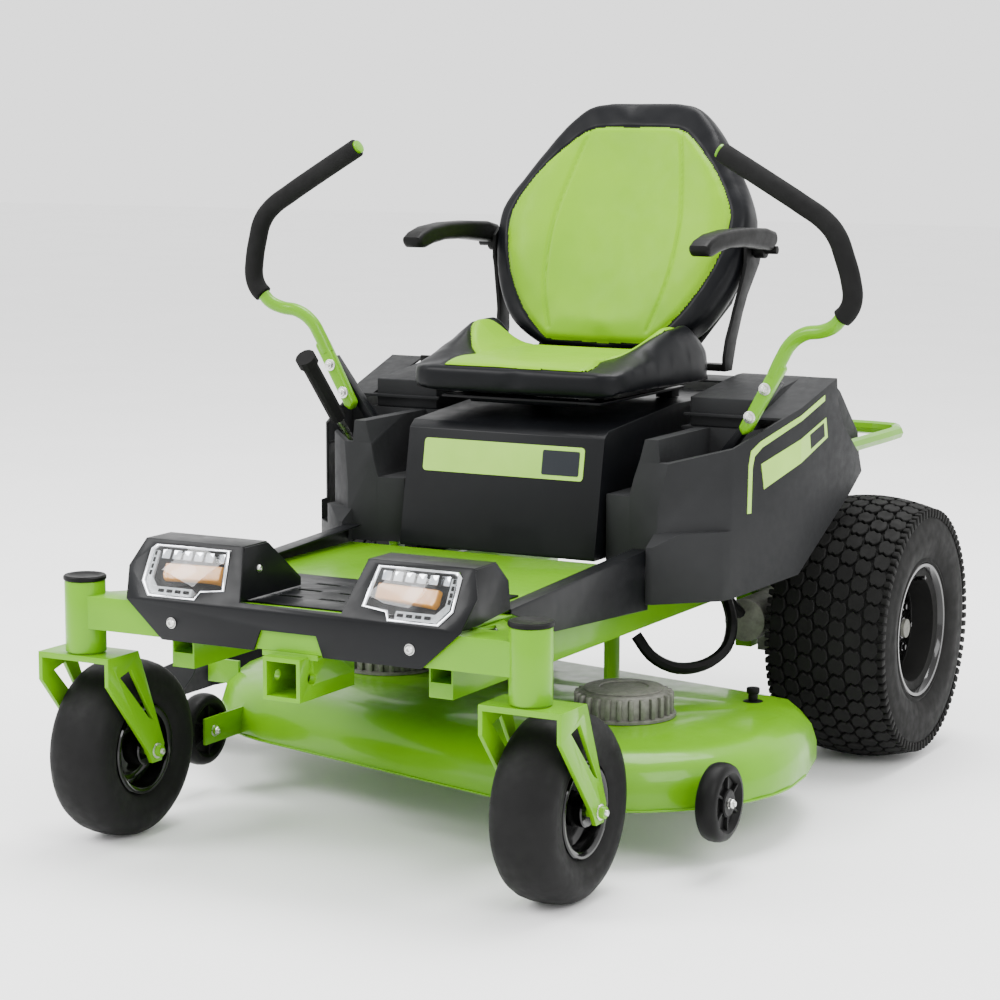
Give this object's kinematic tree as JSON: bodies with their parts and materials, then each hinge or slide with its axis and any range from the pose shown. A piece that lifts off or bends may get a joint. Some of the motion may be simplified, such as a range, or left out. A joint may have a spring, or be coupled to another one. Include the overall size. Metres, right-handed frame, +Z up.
{
  "type": "zero turn mower",
  "caption": "Ride-on electric zero turn mower with lap bars, padded seat with armrests, front casters and a side-discharge deck.",
  "frame": {"origin": "middle of the footprint, on the ground under the tyres", "axes": "+Z up, -Y to the machine's front, +X to the operator's left"},
  "size_m": [1.2708, 1.6403, 1.1473],
  "materials": {
    "green_paint": "glossy lime green powder coat",
    "black_paint": "satin black powder coat",
    "grey_plastic": "moulded dark grey plastic with a fine grain",
    "black_plastic": "moulded black plastic",
    "tyre_rubber": "dull black rubber",
    "rim_paint": "gloss black wheel paint",
    "black_vinyl": "grained black vinyl",
    "green_vinyl": "grained lime green vinyl",
    "foam_grip": "soft black foam sleeve",
    "cast_aluminium": "sand cast grey",
    "bare_steel": "zinc plated or ground steel",
    "lamp_lens": "clear polished lens",
    "lamp_reflector": "bright metallised reflector",
    "amber_light": "amber light bar",
    "lime_decal": "pale lime film"
  },
  "bodies": {
    "frame": {"front_axle_beam": "green_paint", "receiver_hitch": "green_paint", "main_frame": "green_paint", "rear_bumper": "green_paint", "floor_pan": "green_paint", "foot_plate": "black_paint", "left_foot_panel": "black_paint", "right_foot_panel": "black_paint", "front_cover": "black_paint", "left_headlight": "lamp_lens", "right_headlight": "lamp_lens", "battery_box": "black_paint", "battery_pack": "black_plastic", "motor_controller": "cast_aluminium", "left_fender": "grey_plastic", "right_fender": "grey_plastic", "left_side_console": "grey_plastic", "right_side_console": "grey_plastic", "rear_cover": "grey_plastic", "left_drive_motor": "cast_aluminium", "right_drive_motor": "cast_aluminium", "motor_cable": "black_plastic"},
    "left_drive_wheel": {"left_rear_tyre": "tyre_rubber", "left_rear_rim": "rim_paint"},
    "right_drive_wheel": {"right_rear_tyre": "tyre_rubber", "right_rear_rim": "rim_paint"},
    "left_caster": {"left_caster_fork": "green_paint"},
    "left_caster_wheel": {"left_caster_tyre": "tyre_rubber", "left_caster_rim": "rim_paint"},
    "right_caster": {"right_caster_fork": "green_paint"},
    "right_caster_wheel": {"right_caster_tyre": "tyre_rubber", "right_caster_rim": "rim_paint"},
    "seat_base": {"seat_plate": "black_paint"},
    "seat": {"seat_shell": "black_plastic", "seat_cushion": "black_vinyl", "seat_back": "green_vinyl"},
    "left_arm": {"left_armrest": "black_plastic"},
    "right_arm": {"right_armrest": "black_plastic"},
    "left_lever_base": {"left_lever_pivot": "black_paint"},
    "left_lever": {"left_lever_arm": "black_paint", "left_lever_tube": "green_paint", "left_lever_grip": "foam_grip"},
    "right_lever_base": {"right_lever_pivot": "black_paint"},
    "right_lever": {"right_lever_arm": "black_paint", "right_lever_tube": "green_paint", "right_lever_grip": "foam_grip"},
    "deck": {"deck_shell": "green_paint", "left_blade_motor": "cast_aluminium", "right_blade_motor": "cast_aluminium"},
    "left_blade_body": {"left_blade": "bare_steel"},
    "right_blade_body": {"right_blade": "bare_steel"},
    "left_gauge": {"left_gauge_wheel": "black_plastic"},
    "right_gauge": {"right_gauge_wheel": "black_plastic"},
    "chute": {"discharge_chute": "grey_plastic"},
    "lift": {"lift_lever": "bare_steel", "lift_grip": "foam_grip"},
    "key": {"start_key": "black_plastic"},
    "knob": {"blade_knob": "black_plastic"}
  },
  "joints": [
    {"name": "left_wheel_drive", "type": "hinge", "parent": "frame", "child": "left_drive_wheel", "pos_m": [0.489, 0.4, 0.229], "axis": [1, 0, 0], "continuous": true},
    {"name": "right_wheel_drive", "type": "hinge", "parent": "frame", "child": "right_drive_wheel", "pos_m": [-0.387, 0.4, 0.229], "axis": [1, 0, 0], "continuous": true},
    {"name": "left_caster_swivel", "type": "hinge", "parent": "frame", "child": "left_caster", "pos_m": [0.437, -0.769, 0.36], "axis": [0, 0, 1], "continuous": true},
    {"name": "left_caster_roll", "type": "hinge", "parent": "left_caster", "child": "left_caster_wheel", "pos_m": [0.437, -0.681, 0.1397], "axis": [1, 0, 0], "continuous": true},
    {"name": "right_caster_swivel", "type": "hinge", "parent": "frame", "child": "right_caster", "pos_m": [-0.335, -0.769, 0.36], "axis": [0, 0, 1], "continuous": true},
    {"name": "right_caster_roll", "type": "hinge", "parent": "right_caster", "child": "right_caster_wheel", "pos_m": [-0.335, -0.681, 0.1397], "axis": [1, 0, 0], "continuous": true},
    {"name": "seat_tilt", "type": "hinge", "parent": "frame", "child": "seat_base", "pos_m": [0.051, -0.07, 0.648], "axis": [1, 0, 0], "range_deg": [0, 50]},
    {"name": "seat_slide", "type": "slide", "parent": "seat_base", "child": "seat", "axis": [0, 1, 0], "range_m": [-0.06, 0.05]},
    {"name": "left_armrest_fold", "type": "hinge", "parent": "seat", "child": "left_arm", "pos_m": [0.321, 0.307, 0.888], "axis": [-1, 0, 0], "range_deg": [0, 80]},
    {"name": "right_armrest_fold", "type": "hinge", "parent": "seat", "child": "right_arm", "pos_m": [-0.219, 0.307, 0.888], "axis": [-1, 0, 0], "range_deg": [0, 80]},
    {"name": "left_lever_stroke", "type": "hinge", "parent": "frame", "child": "left_lever_base", "pos_m": [0.379, 0.013, 0.52], "axis": [-1, 0, 0], "range_deg": [-20, 10]},
    {"name": "left_lever_swing", "type": "hinge", "parent": "left_lever_base", "child": "left_lever", "pos_m": [0.379, 0.013, 0.56], "axis": [0, 1, 0], "range_deg": [-28, 0]},
    {"name": "right_lever_stroke", "type": "hinge", "parent": "frame", "child": "right_lever_base", "pos_m": [-0.277, 0.013, 0.52], "axis": [-1, 0, 0], "range_deg": [-20, 10]},
    {"name": "right_lever_swing", "type": "hinge", "parent": "right_lever_base", "child": "right_lever", "pos_m": [-0.277, 0.013, 0.56], "axis": [0, -1, 0], "range_deg": [-28, 0]},
    {"name": "lift_lever_pull", "type": "hinge", "parent": "frame", "child": "lift", "pos_m": [-0.313, -0.07, 0.335], "axis": [-1, 0, 0], "range_deg": [-14, 8]},
    {"name": "deck_height", "type": "slide", "parent": "frame", "child": "deck", "axis": [0, 0, 1], "range_m": [-0.0462, 0.0264]},
    {"name": "left_blade_spin", "type": "hinge", "parent": "deck", "child": "left_blade_body", "pos_m": [0.315, -0.222, 0.1], "axis": [0, 0, 1], "continuous": true},
    {"name": "right_blade_spin", "type": "hinge", "parent": "deck", "child": "right_blade_body", "pos_m": [-0.207, -0.082, 0.1], "axis": [0, 0, 1], "continuous": true},
    {"name": "left_gauge_roll", "type": "hinge", "parent": "deck", "child": "left_gauge", "pos_m": [0.582, -0.442, 0.11], "axis": [1, 0, 0], "continuous": true},
    {"name": "right_gauge_roll", "type": "hinge", "parent": "deck", "child": "right_gauge", "pos_m": [-0.367, -0.418, 0.11], "axis": [1, 0, 0], "continuous": true},
    {"name": "chute_lift", "type": "hinge", "parent": "deck", "child": "chute", "pos_m": [-0.488, -0.12, 0.176], "axis": [0, 1, 0], "range_deg": [0, 70]},
    {"name": "key_turn", "type": "hinge", "parent": "frame", "child": "key", "pos_m": [-0.279, 0.17, 0.67], "axis": [0, 0, 1], "range_deg": [0, 60]},
    {"name": "knob_pull", "type": "slide", "parent": "frame", "child": "knob", "axis": [0, 0, 1], "range_m": [0, 0.008]}
  ],
  "couplings": [
    {"joint": "deck_height", "follows": "lift_lever_pull", "m_per_rad": 0.189}
  ]
}
